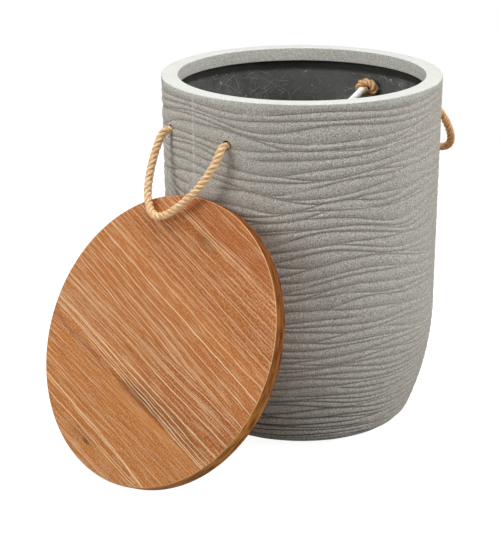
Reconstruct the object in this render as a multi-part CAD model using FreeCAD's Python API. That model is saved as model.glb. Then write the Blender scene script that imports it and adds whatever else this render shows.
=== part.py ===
"""Outdoor side table: a cast storage drum with rope handles and a loose round wooden lid.

Millimetres, +Z up. The origin is the centre of the drum's base, on the ground. The rope handles are on
the X axis, the left one at -X. The lid leans against the left of the drum, as it does when taken off.
"""
import FreeCAD, Part
import math
import os

Vector = FreeCAD.Vector

# Drum casting
DRUM_HEIGHT = 484.0
RIM_RADIUS = 190.0
WAIST_RADIUS = 185.3          # where the straight wall meets the curve of the base
BASE_CURVE_HEIGHT = 170.0
BASE_FLAT_RADIUS = 122.0
BASE_ROUND = 36.0
WALL = 12.0
FLOOR = 14.0
FLOOR_ROUND = 24.0            # inside, floor to wall
LIP_OPENING_RADIUS = 167.5
LIP_HEIGHT = 18.5
RIM_OUTER_ROUND = 1.5
RIM_INNER_ROUND = 1.0

# Rope handles
ROPE_DIAMETER = 11.0
ROPE_HOLE_CLEARANCE = 0.8     # all round the rope
HOLE_DROP = 60.0              # rim to hole centre
HOLE_SPACING = 115.0          # between the two holes of one handle
SWING_STANDOFF = 10.0         # wall to the line that a loop swings about
LOOP_GAP = 0.5                # between the swinging loop and the rope that stays in the hole
LEFT_LOOP_ANGLE = 25.0        # from straight down, outwards; the lid keeps it out
RIGHT_LOOP_ANGLE = 32.0

# Stopper knots, with the cut ends bound in tape
KNOT_DIAMETER = 27.0
KNOT_RISE = 5.0               # above the hole's centre
KNOT_GAP = 0.3                # knot to wall
TAIL_REACH = 52.0             # knot centre to the end of the rope
TAIL_DROOP = 10.0             # degrees below level
TAPE_LENGTH = 34.0
TAPE_THICKNESS = 0.6
TAPE_GAP = 0.05

# Lid
LID_DIAMETER = 385.0
LID_THICKNESS = 19.0
LID_EDGE_CHAMFER = 1.5
BOARD_COUNT = 6
BOARD_WIDTH = 77.0
BOARD_SHIFT = -2.0            # middle joint, off the lid's centre
GRAIN_ANGLE = -21.5           # boards, from level as the lid leans
LEAN_ANGLE = 26.25            # from upright
LEAN_DIRECTION = 188.2        # about Z, from +X
LEAN_GAP = 0.3                # lid to wall

# Battens under the lid
BATTEN_OFFSET = 75.0
BATTEN_WIDTH = 40.0
BATTEN_THICKNESS = 15.0
BATTEN_CLEARANCE = 5.5        # inside the lip
BATTEN_CHAMFER = 3.0
SCREW_SHANK_DIAMETER = 4.0
SCREW_HEAD_DIAMETER = 8.0
SCREW_HEAD_DEPTH = 2.6
SCREW_BITE = 12.0             # depth in the board
SCREW_RECESS_LENGTH = 4.6
SCREW_RECESS_WIDTH = 1.1
SCREW_RECESS_DEPTH = 1.6
SCREW_GAP = 0.05

# Routes of the rope loops in their own plane, hole to hole: (along the drum, down and out).
# The first and last points are where the loops swing.
LEFT_ROUTE = [(63.5, 20.0), (62.0, 47.0), (56.0, 74.0), (44.0, 98.0), (22.0, 114.0), (-3.0, 104.0),
              (-22.5, 85.0), (-41.0, 64.0), (-53.0, 40.0), (-60.0, 17.0)]
RIGHT_ROUTE = [(70.0, 25.0), (65.0, 53.0), (52.0, 76.0), (30.0, 90.0), (4.0, 94.0), (-23.0, 92.0),
               (-49.0, 86.0), (-67.0, 68.0), (-74.0, 44.0), (-73.0, 18.0)]
ARC_SHARE = 0.45              # of the shorter run beside a bend

# Worked out from the sizes above
ROPE_RADIUS = ROPE_DIAMETER / 2
HOLE_RADIUS = ROPE_RADIUS + ROPE_HOLE_CLEARANCE
HOLE_HEIGHT = DRUM_HEIGHT - HOLE_DROP
LID_RADIUS = LID_DIAMETER / 2
UP = Vector(0, 0, 1)


def wall_radius(height):
    """Outside radius of the straight, tapered wall."""
    share = (height - BASE_CURVE_HEIGHT) / (DRUM_HEIGHT - BASE_CURVE_HEIGHT)
    return WAIST_RADIUS + share * (RIM_RADIUS - WAIST_RADIUS)


HOLE_MOUTH_RADIUS = wall_radius(HOLE_HEIGHT)
HOLE_ANGLE = math.degrees(math.asin(HOLE_SPACING / 2 / HOLE_MOUTH_RADIUS))
SWING_RADIUS = HOLE_MOUTH_RADIUS + SWING_STANDOFF

nodes = {}


def profile_point(radius, height):
    """A point of the drum's half section."""
    return Vector(radius, 0, height)


def line(start, end):
    """A straight edge of the section."""
    return Part.LineSegment(start, end).toShape()


def corner(start, centre, radius, end):
    """A round edge bulging away from its centre."""
    middle = centre + ((start + end) / 2 - centre).normalize() * radius
    return Part.Arc(start, middle, end).toShape()


def base_curve(flat_radius, low, side_radius, high, small):
    """Two tangent arcs, level at the floor and upright where the wall starts.

    The small arc has the given radius. The large one ends upright at the side, and its radius follows
    from touching the small arc inside: the distance between the centres is the difference of the radii.
    """
    out = side_radius - flat_radius
    rise = high - low
    large = (out ** 2 + (rise - small) ** 2 - small ** 2) / (2 * (out - small))
    foot = profile_point(flat_radius, low)
    side = profile_point(side_radius, high)
    small_centre = profile_point(flat_radius, low + small)
    large_centre = profile_point(side_radius - large, high)
    meet = small_centre + (small_centre - large_centre).normalize() * small
    return [corner(foot, small_centre, small, meet), corner(meet, large_centre, large, side)]


def drum_section():
    """Closed half section of the casting: base, wall, rim, turned-in lip and inside."""
    axis_low = profile_point(0, 0)
    flat_edge = profile_point(BASE_FLAT_RADIUS, 0)
    waist = profile_point(WAIST_RADIUS, BASE_CURVE_HEIGHT)
    outer_radius = wall_radius(DRUM_HEIGHT - RIM_OUTER_ROUND)
    outer_low = profile_point(outer_radius, DRUM_HEIGHT - RIM_OUTER_ROUND)
    outer_centre = profile_point(outer_radius - RIM_OUTER_ROUND, DRUM_HEIGHT - RIM_OUTER_ROUND)
    outer_top = profile_point(outer_radius - RIM_OUTER_ROUND, DRUM_HEIGHT)
    inner_top = profile_point(LIP_OPENING_RADIUS + RIM_INNER_ROUND, DRUM_HEIGHT)
    inner_centre = profile_point(LIP_OPENING_RADIUS + RIM_INNER_ROUND, DRUM_HEIGHT - RIM_INNER_ROUND)
    inner_low = profile_point(LIP_OPENING_RADIUS, DRUM_HEIGHT - RIM_INNER_ROUND)
    lip_height = DRUM_HEIGHT - LIP_HEIGHT
    lip_edge = profile_point(LIP_OPENING_RADIUS, lip_height)
    lip_root = profile_point(wall_radius(lip_height) - WALL, lip_height)
    inner_waist = profile_point(WAIST_RADIUS - WALL, BASE_CURVE_HEIGHT)
    floor_edge = profile_point(BASE_FLAT_RADIUS, FLOOR)
    axis_high = profile_point(0, FLOOR)
    edges = [
        line(axis_low, flat_edge),
        *base_curve(BASE_FLAT_RADIUS, 0, WAIST_RADIUS, BASE_CURVE_HEIGHT, BASE_ROUND),
        line(waist, outer_low),
        corner(outer_low, outer_centre, RIM_OUTER_ROUND, outer_top),
        line(outer_top, inner_top),
        corner(inner_top, inner_centre, RIM_INNER_ROUND, inner_low),
        line(inner_low, lip_edge),
        line(lip_edge, lip_root),
        line(lip_root, inner_waist),
        *base_curve(BASE_FLAT_RADIUS, FLOOR, WAIST_RADIUS - WALL, BASE_CURVE_HEIGHT, FLOOR_ROUND),
        line(floor_edge, axis_high),
        line(axis_high, axis_low),
    ]
    return Part.Face(Part.Wire(Part.__sortEdges__(edges)))


def hole_direction(side, end):
    """Outward direction of a rope hole: side is -1 left or +1 right, end is -1 front or +1 back."""
    angle = math.radians(HOLE_ANGLE)
    return Vector(side * math.cos(angle), end * math.sin(angle), 0)


def drum():
    """The casting, with the four rope holes drilled towards its axis."""
    shell = drum_section().revolve(Vector(0, 0, 0), UP, 360)
    for side in (-1, 1):
        for end in (-1, 1):
            start = Vector(0, 0, HOLE_HEIGHT)
            drill = Part.makeCylinder(HOLE_RADIUS, RIM_RADIUS + WALL, start, hole_direction(side, end))
            shell = shell.cut(drill)
    return shell


def stopper():
    """Rope in one hole with its knot and tail, and the tape round the tail, for a hole towards +X."""
    outward = Vector(1, 0, 0)
    knot_radius = HOLE_MOUTH_RADIUS - WALL - KNOT_GAP - KNOT_DIAMETER / 2
    hole_start = outward * knot_radius + UP * HOLE_HEIGHT
    knot_centre = hole_start + UP * KNOT_RISE
    shank_end = SWING_RADIUS - ROPE_RADIUS - LOOP_GAP
    shank = Part.makeCylinder(ROPE_RADIUS, shank_end - knot_radius, hole_start, outward)
    knot = Part.makeSphere(KNOT_DIAMETER / 2, knot_centre)

    droop = math.radians(TAIL_DROOP)
    tail_way = outward * -math.cos(droop) - UP * math.sin(droop)
    tail = Part.makeCylinder(ROPE_RADIUS, TAIL_REACH, knot_centre, tail_way)
    rope = knot.fuse(shank).fuse(tail)

    bore = ROPE_RADIUS + TAPE_GAP
    tape_start = knot_centre + tail_way * (TAIL_REACH - TAPE_LENGTH)
    tape = Part.makeCylinder(bore + TAPE_THICKNESS, TAPE_LENGTH, tape_start, tail_way)
    tape = tape.cut(Part.makeCylinder(bore, TAPE_LENGTH, tape_start, tail_way))
    return rope, tape


def turned(shape, way):
    """A copy of a shape made towards +X, turned about Z to face another way."""
    copy = shape.copy()
    copy.Placement = FreeCAD.Placement(Vector(0, 0, 0), FreeCAD.Rotation(Vector(1, 0, 0), way))
    return copy


def bent_path(points):
    """Straight runs joined by tangent arcs, each as large as its two runs allow; prints the radii."""
    edges = []
    radii = []
    last = points[0]
    for before, bend, after in zip(points, points[1:], points[2:]):
        run_in = bend - before
        run_out = after - bend
        turn = run_in.getAngle(run_out)
        reach = ARC_SHARE * min(run_in.Length, run_out.Length)
        radius = reach / math.tan(turn / 2)
        radii.append(round(radius, 1))
        start = bend - run_in.normalize() * reach
        end = bend + run_out.normalize() * reach
        to_centre = ((start + end) / 2 - bend).normalize()
        middle = bend + to_centre * (radius / math.cos(turn / 2) - radius)
        edges.append(line(last, start))
        edges.append(Part.Arc(start, middle, end).toShape())
        last = end
    edges.append(line(last, points[-1]))
    print("rope radii", radii)
    return Part.Wire(edges)


def loop(side, route, angle):
    """One rope handle outside the wall: a tube in a plane that hangs from its two swing points."""
    tilt = math.radians(angle)
    down = Vector(side * math.sin(tilt), 0, -math.cos(tilt))
    level = UP * HOLE_HEIGHT
    back = hole_direction(side, 1) * SWING_RADIUS + level
    front = hole_direction(side, -1) * SWING_RADIUS + level
    middle = (back + front) / 2
    points = [back] + [middle + Vector(0, along, 0) + down * depth for along, depth in route] + [front]
    path = bent_path(points)
    first_way = points[1] - points[0]
    last_way = points[-1] - points[-2]
    section = Part.Wire(Part.makeCircle(ROPE_RADIUS, points[0], first_way))
    tube = path.makePipeShell([section], True, False)
    straight_volume = math.pi * ROPE_RADIUS ** 2 * path.Length
    print("rope length", round(path.Length, 1), "volume ratio", round(tube.Volume / straight_volume, 4))
    first_cap = Part.makeSphere(ROPE_RADIUS, points[0], first_way * -1, 0, 90, 360)
    last_cap = Part.makeSphere(ROPE_RADIUS, points[-1], last_way, 0, 90, 360)
    return tube.fuse([first_cap, last_cap])


def lid_placement():
    """The lid's own frame: X level, Y up the slope, Z out of the top face, origin in its middle.

    The lowest edge stands on the ground and the top edge rests against the wall.
    """
    lean = math.radians(LEAN_ANGLE)
    heading = math.radians(LEAN_DIRECTION)
    outward = Vector(math.cos(heading), math.sin(heading), 0)
    sideways = UP.cross(outward)
    slope = outward * -math.sin(lean) + UP * math.cos(lean)
    facing = outward * math.cos(lean) + UP * math.sin(lean)
    height = LID_RADIUS * math.cos(lean) + (LID_THICKNESS - LID_EDGE_CHAMFER) * math.sin(lean)
    flat_radius = LID_RADIUS - LID_EDGE_CHAMFER
    touch_height = height + flat_radius * math.cos(lean) - LID_THICKNESS * math.sin(lean)
    distance = (wall_radius(touch_height) + LEAN_GAP + flat_radius * math.sin(lean)
                + LID_THICKNESS * math.cos(lean))
    return FreeCAD.Placement(FreeCAD.Matrix(
        sideways.x, slope.x, facing.x, outward.x * distance,
        sideways.y, slope.y, facing.y, outward.y * distance,
        sideways.z, slope.z, facing.z, height,
        0, 0, 0, 1))


def board_joints():
    """Places of the glued joints, across the boards."""
    return [BOARD_SHIFT + (k - BOARD_COUNT / 2) * BOARD_WIDTH for k in range(1, BOARD_COUNT)]


def batten_half_length():
    """Half the length of a batten whose corners clear the lip."""
    reach = LIP_OPENING_RADIUS - BATTEN_CLEARANCE
    return math.sqrt(reach ** 2 - (BATTEN_OFFSET + BATTEN_WIDTH / 2) ** 2)


def screw_places():
    """Screw positions (along the boards, across them): one in each board that a batten crosses."""
    reach = batten_half_length()
    stops = [-reach] + [place for place in board_joints() if abs(place) < reach] + [reach]
    middles = [(low + high) / 2 for low, high in zip(stops, stops[1:])]
    return [(offset, place) for offset in (-BATTEN_OFFSET, BATTEN_OFFSET) for place in middles]


def screw_shape(gap):
    """Countersunk screws in the lid's frame, or with a gap the holes that they go into."""
    face = -LID_THICKNESS - BATTEN_THICKNESS
    shank_radius = SCREW_SHANK_DIAMETER / 2 + gap
    head_radius = SCREW_HEAD_DIAMETER / 2 + gap
    shapes = []
    for along, across in screw_places():
        foot = Vector(along, across, face)
        shank = Part.makeCylinder(shank_radius, BATTEN_THICKNESS + SCREW_BITE + gap, foot)
        head = Part.makeCone(head_radius, shank_radius, SCREW_HEAD_DEPTH, foot)
        shapes.append(shank.fuse(head))
    return shapes


def screws():
    """All batten screws, each with a cross recess in its head."""
    face = -LID_THICKNESS - BATTEN_THICKNESS
    shapes = []
    for (along, across), screw in zip(screw_places(), screw_shape(0)):
        for length, width in ((SCREW_RECESS_LENGTH, SCREW_RECESS_WIDTH),
                              (SCREW_RECESS_WIDTH, SCREW_RECESS_LENGTH)):
            low = Vector(along - length / 2, across - width / 2, face)
            screw = screw.cut(Part.makeBox(length, width, SCREW_RECESS_DEPTH, low))
        shapes.append(screw)
    return Part.makeCompound(shapes)


def boards():
    """The round panel, cut along its glued joints, with pilot holes for the screws."""
    disc = Part.makeCylinder(LID_RADIUS, LID_THICKNESS, Vector(0, 0, -LID_THICKNESS))
    disc = disc.makeChamfer(LID_EDGE_CHAMFER, [edge for edge in disc.Edges if edge.Closed])
    stops = [-LID_DIAMETER] + board_joints() + [LID_DIAMETER]
    shapes = []
    for low, high in zip(stops, stops[1:]):
        strip_corner = Vector(-LID_DIAMETER, low, -LID_THICKNESS)
        strip = Part.makeBox(2 * LID_DIAMETER, high - low, LID_THICKNESS, strip_corner)
        board = disc.common(strip)
        for hole in screw_shape(SCREW_GAP):
            board = board.cut(hole)
        shapes.append(board)
    return shapes


def batten(offset):
    """One batten across the boards, its lower edges chamfered, with countersunk screw holes."""
    reach = batten_half_length()
    low = Vector(offset - BATTEN_WIDTH / 2, -reach, -LID_THICKNESS - BATTEN_THICKNESS)
    bar = Part.makeBox(BATTEN_WIDTH, 2 * reach, BATTEN_THICKNESS, low)
    lower = [edge for edge in bar.Edges if abs(edge.BoundBox.ZMax - low.z) < SCREW_GAP]
    bar = bar.makeChamfer(BATTEN_CHAMFER, lower)
    for hole in screw_shape(SCREW_GAP):
        bar = bar.cut(hole)
    return bar


def lid():
    """Boards, battens and screws, made flat along the grain and then leant against the drum."""
    turn = FreeCAD.Placement(Vector(0, 0, 0), FreeCAD.Rotation(UP, GRAIN_ANGLE))
    lean = lid_placement().multiply(turn)
    shapes = {f"lid_board_{number}": board for number, board in enumerate(boards(), 1)}
    shapes["lid_batten_upper"] = batten(-BATTEN_OFFSET)
    shapes["lid_batten_lower"] = batten(BATTEN_OFFSET)
    shapes["lid_batten_screws"] = screws()
    for shape in shapes.values():
        shape.Placement = lean.multiply(shape.Placement)
    return shapes


nodes["drum_shell"] = drum()
rope, tape = stopper()
for side_name, side in (("left", -1), ("right", 1)):
    for end_name, end in (("front", -1), ("back", 1)):
        way = hole_direction(side, end)
        nodes[f"rope_knot_{side_name}_{end_name}"] = turned(rope, way)
        nodes[f"rope_tape_{side_name}_{end_name}"] = turned(tape, way)
nodes["rope_loop_left"] = loop(-1, LEFT_ROUTE, LEFT_LOOP_ANGLE)
nodes["rope_loop_right"] = loop(1, RIGHT_ROUTE, RIGHT_LOOP_ANGLE)
nodes.update(lid())

os.makedirs("parts", exist_ok=True)
for name, shape in nodes.items():
    shape.exportStep(f"parts/{name}.step")
print(len(nodes), "nodes; swing line at x", round(SWING_RADIUS * math.cos(math.radians(HOLE_ANGLE)), 3),
      "z", HOLE_HEIGHT)
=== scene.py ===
"""Looks of the outdoor side table: a grooved casting, twisted rope handles and a limed wooden lid.

Metres, in the CAD frame: +Z up, the drum's axis on Z, the rope handles at -X and +X, the lid leaning at -X.
"""
import math

import bpy
import numpy as np
from mathutils import Matrix, Vector


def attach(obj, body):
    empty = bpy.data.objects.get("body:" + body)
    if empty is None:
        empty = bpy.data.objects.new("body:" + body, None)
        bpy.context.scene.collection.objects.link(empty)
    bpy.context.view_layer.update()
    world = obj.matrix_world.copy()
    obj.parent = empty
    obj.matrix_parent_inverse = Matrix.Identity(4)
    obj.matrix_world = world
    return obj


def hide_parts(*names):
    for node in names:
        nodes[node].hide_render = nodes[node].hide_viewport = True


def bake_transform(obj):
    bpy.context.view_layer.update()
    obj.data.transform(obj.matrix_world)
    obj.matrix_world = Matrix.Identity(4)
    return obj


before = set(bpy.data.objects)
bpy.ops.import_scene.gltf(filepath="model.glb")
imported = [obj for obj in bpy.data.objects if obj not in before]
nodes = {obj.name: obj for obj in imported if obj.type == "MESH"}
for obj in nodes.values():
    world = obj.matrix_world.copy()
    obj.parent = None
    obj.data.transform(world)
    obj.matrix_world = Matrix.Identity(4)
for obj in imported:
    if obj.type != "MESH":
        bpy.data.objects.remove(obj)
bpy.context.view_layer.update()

# Drum casting, as in the CAD
DRUM_HEIGHT = 0.484
RIM_RADIUS = 0.190
WAIST_RADIUS = 0.1853
BASE_CURVE_HEIGHT = 0.170
BASE_FLAT_RADIUS = 0.122
BASE_ROUND = 0.036
WALL = 0.012
FLOOR = 0.014
FLOOR_ROUND = 0.024
LIP_OPENING_RADIUS = 0.1675
LIP_HEIGHT = 0.0185
RIM_OUTER_ROUND = 0.0015
RIM_INNER_ROUND = 0.001
TAPER = (RIM_RADIUS - WAIST_RADIUS) / (DRUM_HEIGHT - BASE_CURVE_HEIGHT)
INNER_RING = 0.06               # last ring of points before the middle of the base and floor

# Wave grooves of the wall
RIDGES = 63
GROOVE_DEPTH = 0.0021
BASE_DEPTH = 1.45               # times as deep near the base
ROLL_FLANK = 0.0100             # from a line to the flat top of a wide roll
ROLL_POWER = 1.8
PINCHED_ROLL = 0.007            # narrower rolls stay low
ROLL_SPACING = 0.76, 1.14       # shares of an even spacing, at the base and under the rim
OWN_WAVES, SHARED_WAVES = 0.62, 0.5     # spread of a line's shift, in spacings
CALM_BASE = 0.42                # share of the waves near the base
LEAST_SPACING = 0.02            # share of the spacing that is left where lines run together
PLAIN_BAND = 0.012              # smooth wall under the rim
BAND_WAVER = 0.002              # of the band's lower edge
WORN_SIDE = math.radians(318)   # where the mould is worn and the grooves are shallow
WORN_DEPTH = 0.3                # share of the depth there
SEAM_REACH = 0.0022             # of the fading beside a mould seam
RIDGE_STEPS = np.array([0, 0.08, 0.26, 0.5, 0.74, 0.92])
COLUMNS = 206                   # round the drum, besides those at the mould seams
SEAM_STEPS = np.radians([-0.9, -0.45, -0.15, 0.15, 0.45, 0.9])

# Rope handles
HOLE_RADIUS = 0.0063
HOLE_HEIGHT = 0.424
HOLE_MOUTH_RADIUS = 0.1891
HOLE_ANGLE = math.asin(0.0575 / HOLE_MOUTH_RADIUS)
HOLE_SIDES = 40
HOLE_TURN = 0.03                # keeps a hole's points off those of the wall
SWING_RADIUS = 0.1991
ROPE_DIAMETER = 0.011
ROPE_DROP = -0.0014             # the rope lies on the hole's lower side
KNOT_ROPE_DIAMETER = 0.0118     # loosened by tying
TAIL_DIAMETER = 0.0092
ROUTE_STEP = 0.001              # between rings of points along a rope
STRAND_PITCH = 0.0235
STRAND_SIDES = 18
STRAND_ARM, STRAND_RADIUS = 0.262, 0.245    # shares of the rope's diameter
YARNS, YARN_PITCH, YARN_RIB = 5, 0.016, 0.05
LOOP_HAIRS, KNOT_HAIRS = 420, 90
HAIR_RADIUS = 0.00013
TAPE_LENGTH = 0.0465
TAPE_PITCH = 0.013
TAPE_WALL = 0.0009
TAPE_STEP, TAPE_DENT = 0.00022, 0.0001
TAPE_SHRINK, TAPE_SHRINK_REACH = 0.0003, 0.0012     # at both ends
TAPE_SIDES = 48
LEFT_TILT = math.radians(25)
RIGHT_TILT = math.radians(32)
LEFT_ROUTE = np.array([
    (63.5, 20), (62, 47), (56, 74), (44, 98), (22, 114), (-3, 104), (-22.5, 85), (-41, 64), (-53, 40),
    (-60, 17)]) / 1000
RIGHT_ROUTE = np.array([
    (70, 25), (65, 53), (52, 76), (30, 90), (4, 94), (-23, 92), (-49, 86), (-67, 68), (-74, 44),
    (-73, 18)]) / 1000

# Lid
LID_RADIUS = 0.1925
LID_THICKNESS = 0.019
LID_EDGE_CHAMFER = 0.0015
LEAN = math.radians(26.25)
HEADING = math.radians(188.2)
LEAN_GAP = 0.0003
GRAIN_ANGLE = -21.5             # degrees from level, along the boards

# Studio and camera; the camera was fitted to the outlines of the rim, wall and lid
FLOOR_RADIUS, FLOOR_SIDES = 1.6, 96
FLOOR_LIFT = 0.935
SURROUND_LIGHT = 0.34
PANELS = [                      # name, place, aim, size in metres, watts
    ("overhead_panel", (-0.1, -0.1, 2.3), (0, 0, 0.2), 2.2, 34.0),
    ("key_panel", (-2.35, 0.5, 1.25), (-0.1, 0, 0.25), 1.2, 24.0),
    ("fill_panel", (1.55, -2.4, 1.6), (0, 0, 0.25), 1.8, 43.0)]
CAMERA_PLACE = -1.6669, -1.8643, 1.0225
CAMERA_AHEAD = 0.61338, 0.72629, -0.31026
CAMERA_ABOVE = 0.20221, 0.23532, 0.95065
FOCAL_LENGTH, PHOTO_HEIGHT = 1884.18, 536   # pixels
SENSOR_WIDTH = 36

UP = np.array([0.0, 0.0, 1.0])
WHITE = 1.0, 1.0, 1.0, 1.0


def tone(red, green, blue):
    """A colour from the 0 to 255 scale of a screen, as linear light with full cover."""
    share = np.array([red, green, blue]) / 255
    linear = np.where(share <= 0.04045, share / 12.92, ((share + 0.055) / 1.055) ** 2.4)
    return (*linear.tolist(), 1.0)


def overload(operation):
    """An operator's two methods: with the number first, and reflected, with the number second."""
    def plain(self, other):
        return self.owner.math(operation, self, other)

    def reflected(self, other):
        return self.owner.math(operation, other, self)

    return plain, reflected


class Number:
    """A number inside a node tree: sums, differences, products, quotients and powers add Math nodes."""

    def __init__(self, owner, socket):
        self.owner = owner
        self.socket = socket

    __add__, __radd__ = overload("ADD")
    __sub__, __rsub__ = overload("SUBTRACT")
    __mul__, __rmul__ = overload("MULTIPLY")
    __truediv__, __rtruediv__ = overload("DIVIDE")
    __pow__, __rpow__ = overload("POWER")


class Nodes:
    """A node tree whose nodes are all added by one method."""

    def __init__(self, tree):
        self.tree = tree

    def node(self, kind, settings=(), inputs=(), output=0):
        """Adds a node, with its settings and then the values or links of its sockets; gives one output."""
        made = self.tree.nodes.new(kind)
        for name, value in dict(settings).items():
            setattr(made, name, value)
        for name, value in dict(inputs).items():
            self.feed(made.inputs[name], value)
        return Number(self, made.outputs[output])

    def feed(self, socket, value):
        """Links a number or colour of this tree to a socket, or sets the socket's own value."""
        if isinstance(value, Number):
            self.tree.links.new(value.socket, socket)
        else:
            socket.default_value = value

    def math(self, operation, first, second=0.0):
        return self.node("ShaderNodeMath", {"operation": operation}, {0: first, 1: second})

    def seen_by(self, *rays):
        """1 for two kinds of ray, 0 for the others."""
        outputs = self.node("ShaderNodeLightPath").socket.node.outputs
        return self.math("MAXIMUM", *(Number(self, outputs[ray]) for ray in rays))


class Paint(Nodes):
    """A material and the kinds of node that its colours are made of."""

    def __init__(self, name):
        self.material = bpy.data.materials.new(name)
        self.material.use_nodes = True
        super().__init__(self.material.node_tree)
        self.surface = self.tree.nodes["Principled BSDF"]

    def step(self, value, low, high):
        """0 below low and 1 above high, with a smooth rise between."""
        return self.node("ShaderNodeMapRange", {"interpolation_type": "SMOOTHSTEP"},
                         {"Value": value, "From Min": low, "From Max": high})

    def mix(self, share, first, second):
        """Share of the way from the first colour to the second."""
        return self.node("ShaderNodeMix", {"data_type": "RGBA"}, {0: share, 6: first, 7: second}, 2)

    def join(self, x, y, z):
        return self.node("ShaderNodeCombineXYZ", (), {0: x, 1: y, 2: z})

    def split(self, place):
        """The three numbers of a place."""
        outputs = self.node("ShaderNodeSeparateXYZ", (), {0: place}).socket.node.outputs
        return [Number(self, output) for output in outputs]

    def place(self):
        """Where a point is in the object's own frame, which is the CAD frame."""
        return self.node("ShaderNodeTexCoord", (), (), 3)

    def noise(self, place, scale, detail, roughness):
        return self.node("ShaderNodeTexNoise", (), {
            "Vector": place, "Scale": scale, "Detail": detail, "Roughness": roughness})

    def streaks(self, x, y, z, detail, roughness):
        """Noise over three numbers, each stretched by its own factor."""
        return self.noise(self.join(x, y, z), 1.0, detail, roughness)

    def lines(self, place, core, reach, faint):
        """Thin lines at random places along a number, one per unit: 1 within the core, 0 past the reach.

        Each line has a strength of its own, and those below the faint share of all are left out.
        """
        off = self.node("ShaderNodeTexVoronoi", {"voronoi_dimensions": "1D"}, {"W": place, "Scale": 1.0})
        strength, _, _ = self.split(Number(self, off.socket.node.outputs["Color"]))
        return (1 - self.step(off, core, reach)) * self.step(strength, faint, faint + 0.5)

    def attribute(self, name):
        return self.node("ShaderNodeAttribute", {"attribute_name": name}, (), 2)

    def bump(self, height, distance, strength):
        return self.node("ShaderNodeBump", (), {
            "Height": height, "Distance": distance, "Strength": strength})

    def finish(self, colour, roughness, normal=None, specular=0.5):
        """Feeds the shader: colour, roughness and normal may vary, the specular level is one value."""
        self.feed(self.surface.inputs["Base Color"], colour)
        self.feed(self.surface.inputs["Roughness"], roughness)
        self.feed(self.surface.inputs["Specular IOR Level"], specular)
        if normal is not None:
            self.feed(self.surface.inputs["Normal"], normal)
        return self.material


def cast_wall_material():
    """Sandy casting: pale and dark grains over a warm grey, a faint mould seam, and painted shade in the
    grooves.

    Near the base the painted groove shade is darkest, and single pale grains are painted highlights.
    """
    paint = Paint("cast_wall")
    place = paint.place()
    _, y, z = paint.split(place)
    groove = paint.attribute("groove")
    grains = paint.noise(place, 690, 2, 0.65)
    coarse = paint.noise(place, 230, 3, 0.6)
    clouds = paint.noise(place, 9, 3, 0.55)
    sand = paint.mix(paint.step(grains, 0.32, 0.68), tone(133, 127, 118), tone(227, 223, 214))
    sand = paint.mix(paint.step(coarse, 0.35, 0.7) * 0.3, sand, tone(198, 192, 182))
    sand = paint.mix(paint.step(clouds, 0.3, 0.7) * 0.2, sand, tone(170, 166, 158))
    seam = 1 - paint.step(paint.math("ABSOLUTE", y), 0.0005, 0.0018)
    low = 1 - paint.step(z, 0.0, 0.12)
    # painted highlight: single pale grains near the base, lightened as a grazing light would pick them out
    sand = paint.mix(paint.step(grains, 0.56, 0.7) * low * 0.4, sand, tone(236, 232, 224))
    # painted shade in the grooves, following their depth: darker and wider near the base, fainter at the
    # mould seam
    dark = paint.step(groove + low * 0.14, 0.5, 1.05) * (1 - seam * 0.35)
    colour = paint.mix(dark * (0.38 + low * 0.57), sand, tone(82, 72, 61))
    colour = paint.mix(seam * 0.5, colour, tone(216, 212, 205))
    normal = paint.bump(grains * 0.6 + coarse * 0.4, 0.0011, 0.95)
    return paint.finish(colour, 0.92, normal, 0.25)


def cast_rim_material():
    """Sandy lip of the casting; its level top is painted paler, as painted light from above."""
    paint = Paint("cast_rim")
    place = paint.place()
    _, _, z = paint.split(place)
    grains = paint.noise(place, 760, 2, 0.6)
    clouds = paint.noise(place, 25, 3, 0.55)
    grit = paint.step(grains, 0.32, 0.68)
    sand = paint.mix(grit, tone(160, 159, 150), tone(220, 219, 210))
    # painted light: paler tones for the level top, standing in for the stronger light it gets from above
    painted_light_tone = paint.mix(grit, tone(195, 196, 190), tone(224, 225, 220))
    painted_light_tone = paint.mix(paint.step(clouds, 0.35, 0.7) * 0.35, painted_light_tone, tone(199, 200, 194))
    top = paint.step(z, DRUM_HEIGHT - 0.0012, DRUM_HEIGHT - 0.0003)
    colour = paint.mix(top, sand, painted_light_tone)
    normal = paint.bump(grains, 0.0005, 0.6)
    return paint.finish(colour, 0.88, normal, 0.25)


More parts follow.
